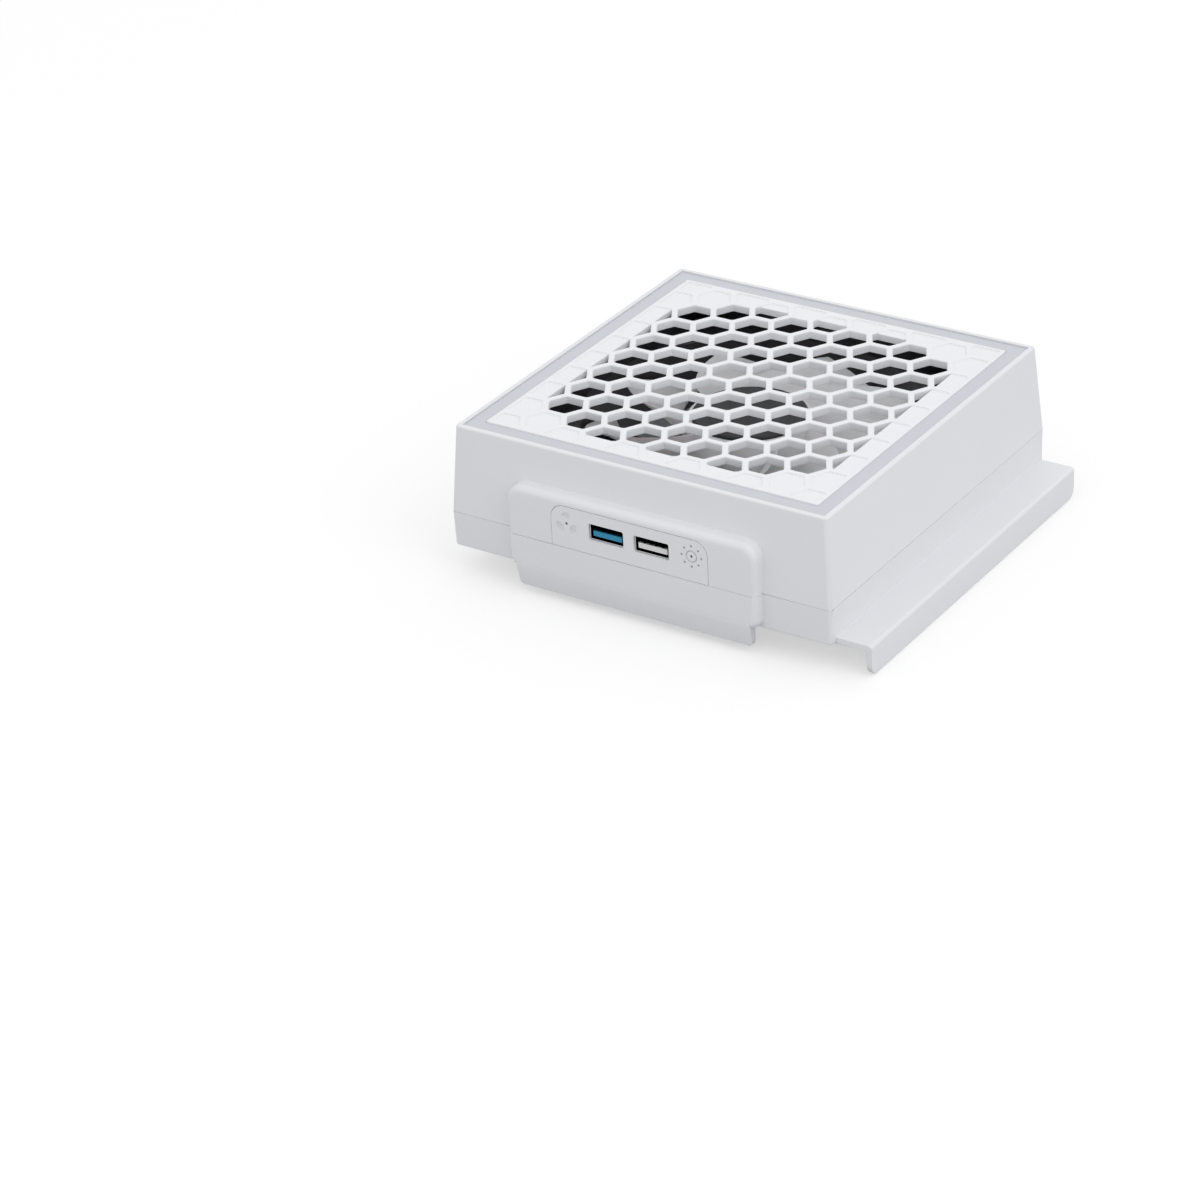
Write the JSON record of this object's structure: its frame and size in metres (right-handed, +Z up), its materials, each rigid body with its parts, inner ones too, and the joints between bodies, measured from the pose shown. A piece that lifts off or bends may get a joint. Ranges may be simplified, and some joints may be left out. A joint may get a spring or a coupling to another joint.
{
  "type": "console cooling fan",
  "caption": "Square clip-on cooling fan with a honeycomb top, a light ring, a front boss with two ports and touch controls, and a hook and lip that locate it on a games console.",
  "frame": {"origin": "on the fan's axis, in the plane of the underside pads", "axes": "+X towards the side hook, +Y towards the back, +Z up along the fan's axis"},
  "size_m": [0.1594, 0.1494, 0.0536],
  "materials": {
    "shell_white": "fine matte texture",
    "plate_white": "fine matte texture",
    "diffuser_grey": "satin translucent",
    "board_white": "satin",
    "led_cream": "gloss",
    "panel_white": "matte",
    "symbol_grey": "matte",
    "board_green": "satin",
    "pad_copper": "satin",
    "chip_black": "matte",
    "socket_ivory": "satin",
    "port_steel": "satin",
    "tongue_blue": "satin",
    "tongue_white": "satin",
    "contact_gold": "gloss",
    "frame_black": "matte",
    "foam_black": "matte foam",
    "hub_black": "satin",
    "blade_frosted": "frosted",
    "bearing_bronze": "satin",
    "core_iron": "satin",
    "coil_copper": "gloss",
    "yoke_steel": "satin",
    "magnet_dark": "matte",
    "shaft_steel": "polished",
    "screw_black": "satin",
    "screw_steel": "satin",
    "pad_rubber": "matte",
    "lead_black": "satin",
    "lead_white": "satin"
  },
  "bodies": {
    "housing": {"lower_shell": "shell_white", "upper_shell": "shell_white", "honeycomb_grille": "plate_white", "light_ring": "diffuser_grey", "led_board": "board_white", "led_chips": "led_cream", "control_panel": "panel_white", "panel_symbols": "symbol_grey", "touch_board": "board_green", "touch_pads": "pad_copper", "control_board": "board_green", "board_parts": "chip_black", "board_sockets": "socket_ivory", "left_port_shell": "port_steel", "left_port_tongue": "tongue_blue", "left_port_contacts": "contact_gold", "right_port_shell": "port_steel", "right_port_tongue": "tongue_white", "right_port_contacts": "contact_gold", "inlet_board": "board_green", "inlet_shell": "port_steel", "inlet_tongue": "chip_black", "fan_frame": "frame_black", "duct_seal": "foam_black", "motor_mount": "frame_black", "motor_board": "board_green", "sleeve_bearing": "bearing_bronze", "bearing_cap": "frame_black", "stator_core": "core_iron", "stator_coils": "coil_copper", "fan_screws": "screw_black", "case_screws": "screw_steel", "board_screws": "screw_steel", "rubber_pads": "pad_rubber", "fan_lead": "lead_black", "led_lead": "lead_white", "power_lead": "lead_black"},
    "rotor": {"rotor_hub": "hub_black", "rotor_blades": "blade_frosted", "rotor_yoke": "yoke_steel", "rotor_magnet": "magnet_dark", "rotor_shaft": "shaft_steel", "shaft_clip": "chip_black"}
  },
  "joints": [
    {"name": "fan_spin", "type": "hinge", "parent": "housing", "child": "rotor", "pos_m": [0, 0, 0.0206], "axis": [0, 0, -1], "continuous": true}
  ]
}
